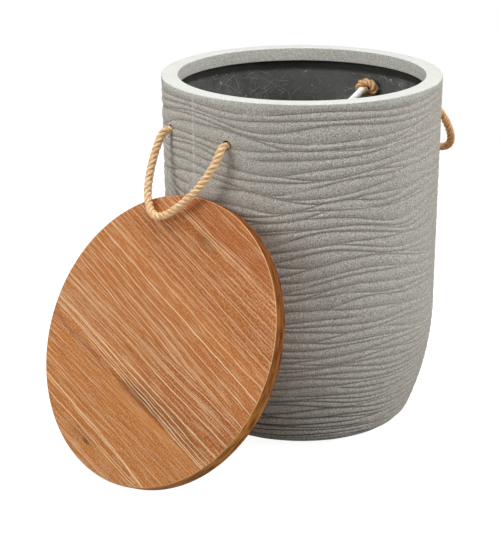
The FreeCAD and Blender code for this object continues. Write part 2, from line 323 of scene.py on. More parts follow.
def cast_inside_material():
    """Bare dark inside of the casting: chopped fibres lie across each other in a grey matrix.

    The wall is unrolled by the angle about the axis. In each of four directions on it, fibres are thin
    lines, slightly bent and broken off by noises. A painted shadow of the lip darkens the inner wall just
    under it.
    """
    paint = Paint("cast_inside")
    place = paint.place()
    x, y, z = paint.split(place)
    clouds = paint.noise(place, 14, 4, 0.6)
    grains = paint.noise(place, 480, 2, 0.6)
    colour = paint.mix(paint.step(clouds, 0.3, 0.7), tone(74, 76, 72), tone(112, 113, 110))
    colour = paint.mix(paint.step(grains, 0.4, 0.7) * 0.35, colour, tone(140, 141, 138))
    patch = paint.step(paint.noise(place, 16, 2, 0.5), 0.3, 0.52)
    round_wall = paint.math("ARCTAN2", y, x) * 0.175
    fibres = None
    for turn in (0.5, -0.7, 0.1, 1.2):
        ahead = round_wall * math.cos(turn) + z * math.sin(turn)
        aside = z * math.cos(turn) - round_wall * math.sin(turn)
        bent = aside + (paint.noise(place, 45, 1, 0.5) - 0.5) * 0.008
        broken = paint.step(paint.streaks(ahead * 45, bent * 170, turn, 1.0, 0.5), 0.52, 0.62)
        line = paint.lines(bent * 170 + turn, 0.04, 0.13, 0.1) * broken
        fibres = line if fibres is None else paint.math("MAXIMUM", fibres, line)
    colour = paint.mix(fibres * patch * 0.5, colour, tone(174, 175, 172))
    flecks = paint.noise(place, 150, 1, 0.5)
    colour = paint.mix(paint.step(flecks, 0.755, 0.79) * 0.9, colour, tone(216, 216, 212))
    corner = DRUM_HEIGHT - LIP_HEIGHT
    # painted shadow of the lip: a dark band on the inner wall just under it
    colour = paint.mix(paint.step(z, corner - 0.018, corner - 0.011) * 0.85, colour, tone(36, 38, 34))
    normal = paint.bump(fibres * 0.5 + clouds, 0.0008, 0.6)
    return paint.finish(colour, 0.8, normal, 0.3)


def rope_material(name, shade, pale, clump, deep):
    """Twisted plant fibre: hairs run along each strand, and painted shade darkens the lay between strands.
    """
    paint = Paint(name)
    u, v, _ = paint.split(paint.node("ShaderNodeTexCoord", (), (), 2))
    hollow = paint.attribute("hollow")
    hairs = paint.noise(paint.join(u * 4 - v * 40, v * 34, 0.0), 3.0, 3, 0.7)
    clumps = paint.noise(paint.join(u * 1.5 - v * 20, v * 26, 0.0), 3.0, 2, 0.5)
    colour = paint.mix(paint.step(hairs, 0.34, 0.6), shade, pale)
    colour = paint.mix(paint.step(clumps, 0.45, 0.68) * 0.5, colour, clump)
    # painted shade in the lay between strands, by how deep a point lies
    colour = paint.mix(paint.step(hollow, 0.3, 0.8) * 0.8, colour, deep)
    normal = paint.bump(hairs, 0.0012, 0.9)
    return paint.finish(colour, 0.9, normal, 0.2)


def tape_material():
    """White paper tape with a faint crepe and dusty folds."""
    paint = Paint("binding_tape")
    u, v, _ = paint.split(paint.node("ShaderNodeTexCoord", (), (), 2))
    crepe = paint.streaks(u * 6, v * 900, 0.0, 2, 0.6)
    smudge = paint.streaks(u * 3, v * 60, 0.0, 2, 0.5)
    colour = paint.mix(paint.step(crepe, 0.3, 0.7) * 0.5, tone(252, 252, 248), tone(242, 241, 235))
    colour = paint.mix(paint.step(smudge, 0.5, 0.75) * 0.3, colour, tone(214, 210, 198))
    normal = paint.bump(crepe, 0.0003, 0.6)
    return paint.finish(colour, 0.7, normal)


def lid_axes(angle):
    """The lid's axes at rest as columns: along the grain, across it and out of the face; and its middle.

    The lid leans with its lowest edge on the ground and its top edge against the wall, as in the CAD.
    """
    outward = np.array([math.cos(HEADING), math.sin(HEADING), 0])
    sideways = np.cross(UP, outward)
    slope = -outward * math.sin(LEAN) + UP * math.cos(LEAN)
    facing = outward * math.cos(LEAN) + UP * math.sin(LEAN)
    height = LID_RADIUS * math.cos(LEAN) + (LID_THICKNESS - LID_EDGE_CHAMFER) * math.sin(LEAN)
    flat = LID_RADIUS - LID_EDGE_CHAMFER
    touch = height + flat * math.cos(LEAN) - LID_THICKNESS * math.sin(LEAN)
    reach = wall_radius(touch) + LEAN_GAP + flat * math.sin(LEAN) + LID_THICKNESS * math.cos(LEAN)
    turn = math.radians(angle)
    along = sideways * math.cos(turn) + slope * math.sin(turn)
    across = slope * math.cos(turn) - sideways * math.sin(turn)
    return np.stack([along, across, facing], axis=1), outward * reach + UP * height


def wood_material(name, angle, seed, dark, middle, light, pith, depth, lime, spots=()):
    """Limed wood: growth rings about a pith below the face, pale filler in the open grain, fine pores.

    The rings are distances from a line at the given place across and depth below the board, slightly out
    of line with it, so that they show as near-parallel lines with a slow fan and a slight waver. Pale
    lines lie at random places along that distance, bold and hair-thin ones, each with a strength of its
    own, and break off where a noise is low; dashes and a fine speckle lie between. Spots are soft
    ellipses of another tone: (along, across, length, width, strength, colour). The lid's sides are bare
    stain, streaked along the rim, with painted light that makes them paler near the ground.
    """
    paint = Paint(name)
    axes, middle_place = lid_axes(angle)
    turn = Matrix(axes.tolist()).to_euler("XYZ")
    place = paint.node("ShaderNodeMapping", {"vector_type": "TEXTURE"}, {
        "Vector": paint.place(), "Location": middle_place.tolist(), "Rotation": tuple(turn)})
    along, across, out = paint.split(place)
    wander = paint.noise(paint.join(along + seed, across, out), 6.0, 2, 0.5) - 0.5
    deep = depth - out + along * 0.03
    side = across - pith + wander * 0.007
    waver = paint.streaks(along * 48 + seed, across * 95, out, 2.0, 0.6) - 0.5
    ring = (side * side + deep * deep) ** 0.5 + waver * 0.0016
    sway = paint.streaks(along * 2.6 + seed, ring * 20, seed, 1.0, 0.5)
    pores = paint.streaks(along * 24.0, ring * 1000, seed, 2.0, 0.6)
    bands = paint.streaks(along * 1.1 + seed, ring * 44, seed + 3.0, 3.0, 0.6)
    groups = paint.streaks(along * 1.6 + seed, ring * 24, seed + 7.0, 1.0, 0.5)
    clouds = paint.streaks(along * 3.0 + seed, across * 9.0, seed, 2.0, 0.5)
    breaks = paint.streaks(along * 5.5 + seed, ring * 110, seed, 2.0, 0.6)
    pauses = paint.streaks(along * 7.0 + seed, ring * 240, seed, 1.0, 0.5)
    speckle = paint.noise(place, 390, 2, 0.6)

    colour = paint.mix(0.35 + paint.step(bands, 0.36, 0.64) * 0.65, dark, middle)
    colour = paint.mix(paint.step(clouds, 0.42, 0.7) * 0.5, colour, light)
    colour = paint.mix(paint.step(pores, 0.46, 0.62) * 0.6, colour, dark)
    colour = paint.mix(paint.step(speckle, 0.5, 0.6) * 0.85, colour, dark)
    colour = paint.mix((1 - paint.step(speckle, 0.4, 0.5)) * 0.7, colour, light)
    for spot_along, spot_across, length, width, strength, shade in spots:
        off_along = (along - spot_along) / length
        off_across = (across - spot_across) / width
        near = off_along * off_along + off_across * off_across
        colour = paint.mix((1 - paint.step(near, 0.0, 1.0)) * strength, colour, shade)
    bold = paint.lines(ring * 66 + sway * 1.2 + seed, 0.012, 0.035, 0.05)
    bold = paint.math("MAXIMUM", bold, paint.lines(ring * 92 - sway * 0.8, 0.012, 0.036, 0.42))
    bold = bold * paint.step(breaks, 0.27, 0.42)
    fine = paint.lines(ring * 235 + sway * 2.5, 0.04, 0.12, -0.08) * paint.step(pauses, 0.37, 0.5)
    fine = fine * (0.3 + paint.step(groups, 0.4, 0.56) * 0.7)
    seams = paint.lines(ring * 270 - sway * 2.0, 0.08, 0.20, 0.0) * paint.step(pauses, 0.36, 0.5)
    flecks = paint.node("ShaderNodeTexVoronoi", {"voronoi_dimensions": "2D"}, {
        "Vector": paint.join(along * 15, ring * 500, 0.0), "Scale": 1.0})
    dashes = 1 - paint.step(flecks, 0.13, 0.27)
    colour = paint.mix(seams * lime * 0.5, colour, tone(136, 78, 40))
    for pale, share in ((dashes, 0.30), (fine, 0.8), (bold, 0.86)):
        colour = paint.mix(pale * lime * share, colour, tone(248, 217, 176))

    from_middle = (along * along + across * across) ** 0.5
    rim = paint.step(from_middle, LID_RADIUS - 0.0009, LID_RADIUS - 0.0004)
    edge = paint.step(from_middle, LID_RADIUS - 0.0022, LID_RADIUS - 0.0014)
    uneven = paint.step(paint.streaks(along * 26.0, across * 26.0, out * 240 + seed, 3.0, 0.65), 0.34, 0.66)
    stain = paint.mix(uneven, tone(82, 41, 6), tone(158, 94, 40))
    # painted light: paler stain for the sides near the ground, standing in for light on the lower side
    painted_light_tone = paint.mix(uneven, tone(122, 68, 14), tone(210, 141, 66))
    _, _, above_ground = paint.split(paint.place())
    stain = paint.mix(paint.step(above_ground, 0.12, 0.19), painted_light_tone, stain)
    # painted highlight: a pale band round the face's edge, beside the chamfer
    colour = paint.mix(edge * 0.5, colour, tone(232, 184, 134))
    colour = paint.mix(rim, colour, stain)
    height = (bands * 0.4 + pores * 0.3) - (dashes * 0.3 + bold * 0.6)
    normal = paint.bump(height, 0.0005, 0.6)
    return paint.finish(colour, 0.68, normal, 0.15)


def screw_material():
    """Zinc plate with fine turning marks."""
    paint = Paint("screw_zinc")
    marks = paint.noise(paint.place(), 900, 2, 0.6)
    colour = paint.mix(marks, tone(150, 148, 140), tone(196, 193, 184))
    paint.surface.inputs["Metallic"].default_value = 1.0
    return paint.finish(colour, 0.3 + marks * 0.25)


def piece(name, points, faces, materials, smooth=True):
    """A mesh piece at the origin, from an array of points and a list of faces."""
    mesh = bpy.data.meshes.new(name)
    mesh.from_pydata(np.asarray(points).reshape(-1, 3).tolist(), [], faces)
    mesh.polygons.foreach_set("use_smooth", np.full(len(mesh.polygons), smooth))
    for material in materials:
        mesh.materials.append(material)
    made = bpy.data.objects.new(name, mesh)
    bpy.context.scene.collection.objects.link(made)
    return made


def add_numbers(made, name, values):
    """Stores one number per point, for the piece's material."""
    layer = made.data.attributes.new(name, "FLOAT", "POINT")
    layer.data.foreach_set("value", np.asarray(values, np.float32).ravel())


def ring_faces(rows, columns, first=0):
    """Quads between closed rings of points, one ring per row, counted from the first point."""
    row, column = np.meshgrid(np.arange(rows - 1), np.arange(columns), indexing="ij")
    here = first + row * columns + column
    beside = first + row * columns + (column + 1) % columns
    quads = np.stack([here, beside, beside + columns, here + columns], axis=-1)
    return quads.reshape(-1, 4).tolist()


def fan_faces(ring, centre):
    """Triangles from each edge of a closed ring of point numbers to one centre point."""
    ring = np.asarray(ring)
    return np.stack([ring, np.roll(ring, -1), np.full(len(ring), centre)], axis=1).tolist()


def turns(count):
    """Even angles round one full turn."""
    return np.linspace(0, 2 * math.pi, count, endpoint=False)


def circle(turn, across, over):
    """Unit circles: the cosine of the turn along one direction and its sine along another."""
    return np.cos(turn)[..., None] * across + np.sin(turn)[..., None] * over


def base_arcs(flat_radius, low, side_radius, high, small, count):
    """Points (radius, height) and outward directions of two tangent arcs from the base to the wall.

    The small arc leaves the base level. The large one ends upright at the wall; touching the small arc
    inside fixes its radius.
    """
    out = side_radius - flat_radius
    rise = high - low
    large = (out ** 2 + (rise - small) ** 2 - small ** 2) / (2 * (out - small))
    small_centre = np.array([flat_radius, low + small])
    large_centre = np.array([side_radius - large, high])
    meet = math.atan2(small_centre[1] - large_centre[1], small_centre[0] - large_centre[0])
    angle = np.concatenate([np.linspace(-math.pi / 2, meet, count), np.linspace(meet, 0, 2 * count)[1:]])
    ways = np.stack([np.cos(angle), np.sin(angle)], axis=1)
    on_small = (np.arange(len(angle)) < count)[:, None]
    return np.where(on_small, small_centre + small * ways, large_centre + large * ways), ways


def run_along(points):
    """How far each point is from the first, along the line through them."""
    return np.concatenate([[0], np.cumsum(np.linalg.norm(np.diff(points, axis=0), axis=1))])


def rounded(centre, radius, start, end, count):
    """Points (radius, height) of an arc between two angles in degrees."""
    angle = np.radians(np.linspace(start, end, count))
    return np.array(centre) + radius * np.stack([np.cos(angle), np.sin(angle)], axis=1)


def wall_radius(height):
    """Outside radius of the tapered wall above the base curve."""
    return WAIST_RADIUS + TAPER * (height - BASE_CURVE_HEIGHT)


def ring_waves(chance, rings, lowest, highest, angles, fall=0.7):
    """Random smooth rings: for each, a sum of cosines round the drum with the given counts of waves.

    Amplitudes fall with a power of the count, and each ring is scaled to a spread of 1 about 0.
    """
    counts = np.arange(lowest, highest + 1)
    size = chance.normal(size=(rings, len(counts), 1)) / counts[:, None] ** fall
    shift = chance.uniform(0, 2 * math.pi, (rings, len(counts), 1))
    waves = (size * np.cos(counts[:, None] * angles + shift)).sum(axis=1)
    return waves / np.sqrt((size ** 2).sum(axis=1) / 2)


def smooth_step(value, low, high):
    """0 below low, 1 above high, and a cubic between."""
    share = np.clip((value - low) / (high - low), 0, 1)
    return share * share * (3 - 2 * share)


def drum_rows(angles):
    """The casting's outside as rows of rings: radius, height and groove depth for each row and angle.

    Groove lines run round the wall, closer together towards the base. Each is shifted up and down by its
    own random waves and by waves that it shares with its neighbours, both calmer near the base. Where two
    lines would cross, both take the average of the highest line below and the lowest above, so that they
    run together and the roll between them pinches out. Six rows cross a roll. Its section is an arch that
    sinks towards the two lines by a power of the nearness to them; wide rolls stay flat on top and narrow
    ones stay low. A line fades in places, so that two rolls flow into one, and at the mould seams. The
    grooves are shallow on the worn side and deeper near the base.
    """
    chance = np.random.default_rng(11)
    arc, arc_ways = base_arcs(BASE_FLAT_RADIUS, 0, WAIST_RADIUS, BASE_CURVE_HEIGHT, BASE_ROUND, 40)
    top = DRUM_HEIGHT - RIM_OUTER_ROUND
    heights = np.linspace(BASE_CURVE_HEIGHT, top, 60)[1:]
    straight = np.stack([wall_radius(heights), heights], axis=1)
    straight_ways = np.tile(np.array([1, -TAPER]) / math.hypot(1, TAPER), (len(heights), 1))
    path = np.concatenate([arc, straight])
    ways = np.concatenate([arc_ways, straight_ways])
    distance = run_along(path)

    order = np.arange(RIDGES + 1)[:, None]
    nearness = np.exp(-((order - order.T) / 4.0) ** 2)
    shared = nearness @ ring_waves(chance, RIDGES + 1, 2, 5, angles, 1.0)
    shared = shared / np.sqrt((nearness ** 2).sum(axis=1))[:, None]
    shift = OWN_WAVES * ring_waves(chance, RIDGES + 1, 2, 9, angles, 1.0) + SHARED_WAVES * shared
    shift = shift * (CALM_BASE + (1 - CALM_BASE) * smooth_step(order, 6, 32))
    shift = shift * smooth_step(np.minimum(order, RIDGES - order), 0, 4)
    even = np.concatenate([[0], np.cumsum(np.linspace(*ROLL_SPACING, RIDGES))])[:, None]
    lines = even + shift
    lines = (np.maximum.accumulate(lines) + np.minimum.accumulate(lines[::-1])[::-1]) / 2
    lines = (1 - LEAST_SPACING) * np.clip(lines, 0, even[-1]) + LEAST_SPACING * even
    edge = BAND_WAVER * np.clip(ring_waves(chance, 1, 2, 7, angles)[0], -2, 2)
    reach = distance[-1] - PLAIN_BAND - edge
    lines = lines / even[-1] * reach
    strength = smooth_step(ring_waves(chance, RIDGES + 1, 3, 10, angles), -2.3, -1.5)
    strength[0] *= 0.5
    from_worn = np.abs((angles - WORN_SIDE + math.pi) % (2 * math.pi) - math.pi)
    worn = smooth_step(from_worn, math.radians(6), math.radians(70))
    strength = strength * (WORN_DEPTH + (1 - WORN_DEPTH) * worn)
    from_seam = np.abs((angles + math.pi / 2) % math.pi - math.pi / 2) * RIM_RADIUS
    strength = strength * (1 - 0.4 * np.exp(-(from_seam / SEAM_REACH) ** 2))

    width = np.diff(lines, axis=0)[:, None, :]
    steps = RIDGE_STEPS[None, :, None]
    along = (lines[:-1, None, :] + steps * width).reshape(-1, len(angles))
    flank = np.minimum(width / 2, ROLL_FLANK)
    below = np.clip(1 - steps * width / flank, 0, 1) ** ROLL_POWER
    above = np.clip(1 - (1 - steps) * width / flank, 0, 1) ** ROLL_POWER
    rise = smooth_step(width, 0, PINCHED_ROLL)
    low, high = strength[:-1, None, :], strength[1:, None, :]
    arch = low * below + high * above
    level = low * (1 - steps) + high * steps
    groove = (rise * arch + (1 - rise) * level).reshape(-1, len(angles))
    along = np.concatenate([along, lines[-1:], lines[-1:] + 0.002, (lines[-1:] + distance[-1]) / 2 + 0.001])
    groove = np.concatenate([groove, strength[-1:], strength[-1:] * 0.3, strength[-1:] * 0])
    sink = -GROOVE_DEPTH * groove * (BASE_DEPTH + (1 - BASE_DEPTH) * smooth_step(along, 0.03, 0.24))
    radius, height = (
        np.interp(along, distance, path[:, k]) + np.interp(along, distance, ways[:, k]) * sink
        for k in (0, 1))
    return radius, np.maximum(height, 0), groove


def drum_lip_rows():
    """Rim, lip and inside as (radius, height) rows, and how many of them are rim."""
    outer = wall_radius(DRUM_HEIGHT - RIM_OUTER_ROUND)
    inner = LIP_OPENING_RADIUS + RIM_INNER_ROUND
    lip = DRUM_HEIGHT - LIP_HEIGHT
    rim = np.concatenate([
        rounded((outer - RIM_OUTER_ROUND, DRUM_HEIGHT - RIM_OUTER_ROUND), RIM_OUTER_ROUND, 0, 90, 6),
        [[(outer + inner) / 2, DRUM_HEIGHT]],
        rounded((inner, DRUM_HEIGHT - RIM_INNER_ROUND), RIM_INNER_ROUND, 90, 180, 5),
        [[LIP_OPENING_RADIUS, lip + 0.0014], [LIP_OPENING_RADIUS, lip + 0.0006],
         [LIP_OPENING_RADIUS + 0.0006, lip]]])
    arc, _ = base_arcs(BASE_FLAT_RADIUS, FLOOR, WAIST_RADIUS - WALL, BASE_CURVE_HEIGHT, FLOOR_ROUND, 6)
    wall = np.linspace(lip, BASE_CURVE_HEIGHT, 9)[:-1]
    inside = np.concatenate([
        np.stack([wall_radius(wall) - WALL, wall], axis=1), arc[::-1], [[INNER_RING, FLOOR]]])
    return np.concatenate([rim, inside]), len(rim)


def drum_columns():
    """Angles of the points round the drum, closer together at the two mould seams, which face -X and +X."""
    plain = np.arange(COLUMNS) * 2 * math.pi / COLUMNS
    away = np.abs((plain + math.pi / 2) % math.pi - math.pi / 2)
    plain = plain[away > math.radians(1.2)]
    return np.sort(np.concatenate([plain, SEAM_STEPS % (2 * math.pi), SEAM_STEPS + math.pi]))


def hole_way(side, end):
    """Outward direction of a rope hole: side -1 left, +1 right; end -1 front, +1 back."""
    return np.array([side * math.cos(HOLE_ANGLE), end * math.sin(HOLE_ANGLE), 0])


def hole_drills(materials):
    """Four cylinders along the rope holes, as one cutter: two rings of points about each hole's axis.

    The holes are dark, as the inside is.
    """
    turn = HOLE_TURN + turns(HOLE_SIDES)
    points, faces = [], []
    for side in (-1, 1):
        for end in (-1, 1):
            way = hole_way(side, end)
            ring = HOLE_RADIUS * circle(turn, np.cross(UP, way), UP)
            inner = np.arange(HOLE_SIDES) + HOLE_SIDES * len(points)
            for reach in (HOLE_MOUTH_RADIUS - 0.03, HOLE_MOUTH_RADIUS + 0.01):
                points.append(ring + way * reach + UP * HOLE_HEIGHT)
            faces += ring_faces(2, HOLE_SIDES, inner[0])
            faces += [inner[::-1].tolist(), (inner + HOLE_SIDES).tolist()]
    made = piece("hole_drills", np.concatenate(points), faces, materials)
    made.data.polygons.foreach_set("material_index", np.full(len(faces), 2, np.int32))
    return made


def drum():
    """The casting as one closed surface of rings about Z, with the rope holes drilled through it."""
    angles = drum_columns()
    radius, height, groove = drum_rows(angles)
    lip, rim_rows = drum_lip_rows()
    ones = np.ones(len(angles))
    radius = np.concatenate([INNER_RING * ones[None], radius, lip[:, :1] * ones])
    height = np.concatenate([0 * ones[None], height, lip[:, 1:] * ones])
    groove = np.concatenate([0 * ones[None], groove, np.zeros((len(lip), len(angles)))])
    points = np.stack([radius * np.cos(angles), radius * np.sin(angles), height], axis=-1).reshape(-1, 3)
    rows, columns = radius.shape
    last = rows * columns
    points = np.concatenate([points, [[0, 0, 0], [0, 0, FLOOR]]])
    faces = ring_faces(rows, columns)
    faces += fan_faces(np.arange(columns)[::-1], last)
    faces += fan_faces(np.arange(last - columns, last), last + 1)
    materials = [cast_wall_material(), cast_rim_material(), cast_inside_material()]
    shell = piece("drum_casting", points, faces, materials)
    add_numbers(shell, "groove", np.concatenate([groove.ravel(), [0, 0]]))
    rim_start = rows - len(lip) - 1
    row_of_face = np.arange((rows - 1) * columns) // columns
    kind = np.where(row_of_face < rim_start, 0, np.where(row_of_face < rim_start + rim_rows, 1, 2))
    kind = np.concatenate([kind, np.zeros(columns), np.full(columns, 2)]).astype(np.int32)
    shell.data.polygons.foreach_set("material_index", kind)

    drills = hole_drills(materials)
    cut = shell.modifiers.new("rope_holes", "BOOLEAN")
    cut.operation = "DIFFERENCE"
    cut.solver = "EXACT"
    cut.object = drills
    graph = bpy.context.evaluated_depsgraph_get()
    drilled = bpy.data.meshes.new_from_object(
        shell.evaluated_get(graph), preserve_all_data_layers=True, depsgraph=graph)
    shell.modifiers.remove(cut)
    shell.data = drilled
    bpy.data.objects.remove(drills)
    drilled.set_sharp_from_angle(angle=math.radians(55))
    return shell


def spline_points(points, spacing):
    """Evenly spaced points read from the NURBS spline that has the given control points."""
    curve = bpy.data.curves.new("rope_route", "CURVE")
    curve.dimensions = "3D"
    curve.resolution_u = 24
    spline = curve.splines.new("NURBS")
    spline.points.add(len(points) - 1)
    spline.points.foreach_set("co", np.column_stack([points, np.ones(len(points))]).ravel())
    spline.order_u = 3
    spline.use_endpoint_u = True
    carrier = bpy.data.objects.new("rope_route", curve)
    mesh = bpy.data.meshes.new_from_object(carrier)
    line = np.zeros(len(mesh.vertices) * 3)
    mesh.vertices.foreach_get("co", line)
    line = line.reshape(-1, 3)
    bpy.data.meshes.remove(mesh)
    bpy.data.objects.remove(carrier)
    bpy.data.curves.remove(curve)
    run = run_along(line)
    at = np.linspace(0, run[-1], int(run[-1] / spacing) + 2)
    return np.stack([np.interp(at, run, line[:, k]) for k in range(3)], axis=1), at


def unit(rows):
    """A vector or rows of vectors, each made one unit long."""
    return rows / np.linalg.norm(rows, axis=-1, keepdims=True)


def carried_frame(line):
    """Directions along a line and two across it, carried from point to point without twist."""
    ahead = unit(np.gradient(line, axis=0))
    start = np.cross(ahead[0], UP if abs(ahead[0][2]) < 0.9 else np.array([1.0, 0, 0]))
    across = [unit(start)]
    for way in ahead[1:]:
        across.append(unit(across[-1] - way * (across[-1] @ way)))
    across = np.array(across)
    return ahead, across, np.cross(ahead, across)


def rope(name, line, run, size, material, hairs, hairy_rows):
    """Three strands wound round a line: each is a round tube on a helix, ribbed by its own twisted yarns.

    The helix is the line plus an arm that turns once in every pitch; arm and tube follow the rope's
    diameter along the line. A tube's radius varies by a few percent as the cosine of its yarns, which twist
    against the lay. Both ends of a tube are domed. Loose hairs stand off the strands over the first rows,
    each a three-sided tapered tube that leaves the rope at a slant.
    """
    around = STRAND_SIDES
    _, across, over = carried_frame(line)
    turn = turns(around)
    arm, thick = STRAND_ARM * size, STRAND_RADIUS * size
    rows = len(line)
    points, faces, hollow, grid_u, grid_v = [], [], [], [], []
    for strand in range(3):
        lay = 2 * math.pi * run / STRAND_PITCH + strand * 2 * math.pi / 3
        way = circle(lay, across, over)
        middle = line + arm[:, None] * way
        ahead = unit(np.gradient(middle, axis=0))
        out = unit(way - ahead * (way * ahead).sum(axis=1, keepdims=True))
        beside = np.cross(ahead, out)
        yarn = YARNS * turn[None, :] - 2 * math.pi * run[:, None] / YARN_PITCH
        tube = thick[:, None] * (1 + YARN_RIB * np.cos(yarn))
        rings = middle[:, None] + tube[..., None] * circle(turn, out[:, None], beside[:, None])
        tips = np.stack([middle[0] - ahead[0] * thick[0] * 0.5, middle[-1] + ahead[-1] * thick[-1] * 0.5])
        first = strand * (rows * around + 2)
        last_ring = first + (rows - 1) * around
        points.append(np.concatenate([rings.reshape(-1, 3), tips]))
        faces += ring_faces(rows, around, first)
        faces += fan_faces(np.arange(first, first + around)[::-1], first + rows * around)
        faces += fan_faces(np.arange(last_ring, last_ring + around), first + rows * around + 1)
        # how far into the lay between strands each point lies, which the rope's material darkens as painted
        # shade
        off_line = np.linalg.norm(rings - line[:, None], axis=2) / (size[:, None] / 2)
        hollow.append(np.append((1 - off_line).ravel() / 0.55, [0, 0]))
        round_tube = np.tile(turn / (2 * math.pi) + 3 * strand, (rows, 1))
        grid_u.append(np.append(round_tube.ravel(), 2 * [3 * strand]))
        grid_v.append(np.append(np.repeat(run, around), [run[0], run[-1]]))
    hair_points, hair_faces = loose_hairs(
        line[:hairy_rows], across, over, size.max(), hairs, 3 * (rows * around + 2))
    points.append(hair_points)
    faces += hair_faces
    hollow.append(np.full(len(hair_points), -1.0))
    grid_u.append(np.full(len(hair_points), 0.3))
    grid_v.append(np.repeat(np.arange(hairs) * 0.0137, len(hair_points) // hairs))
    made = piece(name, np.concatenate(points), faces, [material])
    add_numbers(made, "hollow", np.concatenate(hollow))
    store_grid(made, np.concatenate(grid_u), np.concatenate(grid_v))
    return made


def store_grid(made, u, v):
    """A UV map from two numbers per point; a face that closes a ring counts on past 1."""
    mesh = made.data
    corner = np.zeros(len(mesh.loops), np.int32)
    mesh.loops.foreach_get("vertex_index", corner)
    start = np.zeros(len(mesh.polygons), np.int32)
    mesh.polygons.foreach_get("loop_start", start)
    face = np.searchsorted(start, np.arange(len(corner)), side="right") - 1
    here_u = u[corner]
    highest = np.maximum.reduceat(here_u, start)[face]
    here_u = np.where(highest - here_u > 0.5, here_u + 1, here_u)
    layer = mesh.uv_layers.new(name="grid")
    layer.data.foreach_set("uv", np.stack([here_u, v[corner]], axis=1).astype(np.float32).ravel())


def loop_points(side, tilt, route):
    """Control points of one handle: out of the back hole, round the hanging loop and into the front hole.

    In a hole the rope lies on the hole's lower side.
    """
    level = UP * HOLE_HEIGHT
    down = np.array([side * math.sin(tilt), 0, -math.cos(tilt)])
    back, front = hole_way(side, 1), hole_way(side, -1)
    swing = (back + front) / 2 * SWING_RADIUS + level
    hanging = swing + route[:, :1] * np.array([0, 1, 0]) + route[:, 1:] * down
    inside = HOLE_MOUTH_RADIUS + np.array([[-0.014], [-0.003]])
    starts = [inside * way + ROPE_DROP * UP + level for way in (back, front)]
    ends = [(SWING_RADIUS * way + level)[None] for way in (back, front)]
    return np.concatenate([starts[0], ends[0], hanging, ends[1], starts[1][::-1]])


def loose_hairs(line, across, over, diameter, count, first):
    """Points and faces of loose hairs: four shrinking three-sided rings and a tip along a bent slant.

    A hair starts just inside the rope's surface at a random place and turn, runs along the rope and lifts
    off it by the square of the way along.
    """
    chance = np.random.default_rng(5)
    at = chance.integers(12, len(line) - 26, count)
    turn = chance.uniform(0, 2 * math.pi, count)
    length = chance.uniform(0.003, 0.0075, count)
    lift = chance.uniform(0.0005, 0.0018, count)
    back = chance.choice([-1.0, 1.0], count)
    out = circle(turn, across[at], over[at])
    ahead = unit(line[at + 1] - line[at]) * back[:, None]
    beside = np.cross(ahead, out)
    swirl = beside * chance.uniform(-0.35, 0.35, count)[:, None]
    share = np.linspace(0, 1, 5)[None, :, None]
    root = line[at] + out * diameter * 0.46
    middle = root[:, None] + share * length[:, None, None] * (ahead + swirl)[:, None]
    middle = middle + share ** 2 * lift[:, None, None] * out[:, None]
    size = HAIR_RADIUS * (1 - 0.6 * share[:, :4])
    ring = circle(turns(3), out[:, None], beside[:, None])
    rings = middle[:, :4, None] + size[..., None] * ring[:, None]
    points = np.concatenate([rings.reshape(count, 12, 3), middle[:, 4:]], axis=1)
    one = ring_faces(4, 3) + fan_faces([9, 10, 11], 12) + [[2, 1, 0]]
    faces = [[number + first + 13 * hair for number in face] for hair in range(count) for face in one]
    return points.reshape(-1, 3), faces


def handle(name, side, tilt, route, material):
    """One rope handle from hole to hole: out of the back hole, round the hanging loop and into the front
    hole.

    Its diameter is squeezed by an eighth in the holes and swells to full size beside them.
    """
    line, run = spline_points(loop_points(side, tilt, route), ROUTE_STEP)
    from_end = np.minimum(run, run[-1] - run)
    size = ROPE_DIAMETER * (0.875 + 0.125 * smooth_step(from_end, 0.014, 0.034))
    made = rope(f"rope_handle_{name}", line, run, size, material, LOOP_HAIRS, len(line))
    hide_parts(f"rope_loop_{name}")
    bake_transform(made)
    return made, line, run[-1]


def in_hole(side, end, places):
    """Places given as (inward from the wall's inside, sideways, up from the hole) about one rope hole.

    Sideways is towards the other hole of the same handle.
    """
    way = hole_way(side, end)
    beside = unit(np.array([0, -end, 0]) + end * way[1] * way)
    start = way * (HOLE_MOUTH_RADIUS - WALL) + UP * HOLE_HEIGHT
    return start - places[:, :1] * way + places[:, 1:2] * beside + places[:, 2:] * UP


def knot_places(rise):
    """Stopper knot: the rope winds a turn and a fifth round its own tail and comes out through the middle.

    The winding is an ellipse about the tail's root that moves inward from the wall as it turns and closes
    on the root at its end.
    """
    turn = np.radians(np.arange(-137, 305, 36))
    share = np.linspace(0, 1, len(turn))
    close = 1 - 0.62 * smooth_step(share, 0.82, 1.0)
    winding = np.column_stack([
        0.0042 + 0.0125 * share, 0.0098 + 0.0112 * close * np.cos(turn),
        rise + 0.0084 * close * np.sin(turn)])
    lead = np.array([(-0.004, 0, ROPE_DROP), (-0.001, 0, -0.0010), (0.0018, 0.0005, 0.0)])
    tail = np.array([
        (0.0185, 0.0085, rise), (0.024, 0.0075, rise - 0.0026), (0.032, 0.0063, rise - 0.0065),
        (0.042, 0.0047, rise - 0.0112), (0.052, 0.0032, rise - 0.0156), (0.062, 0.0015, rise - 0.0196)])
    return np.concatenate([lead, winding, tail])


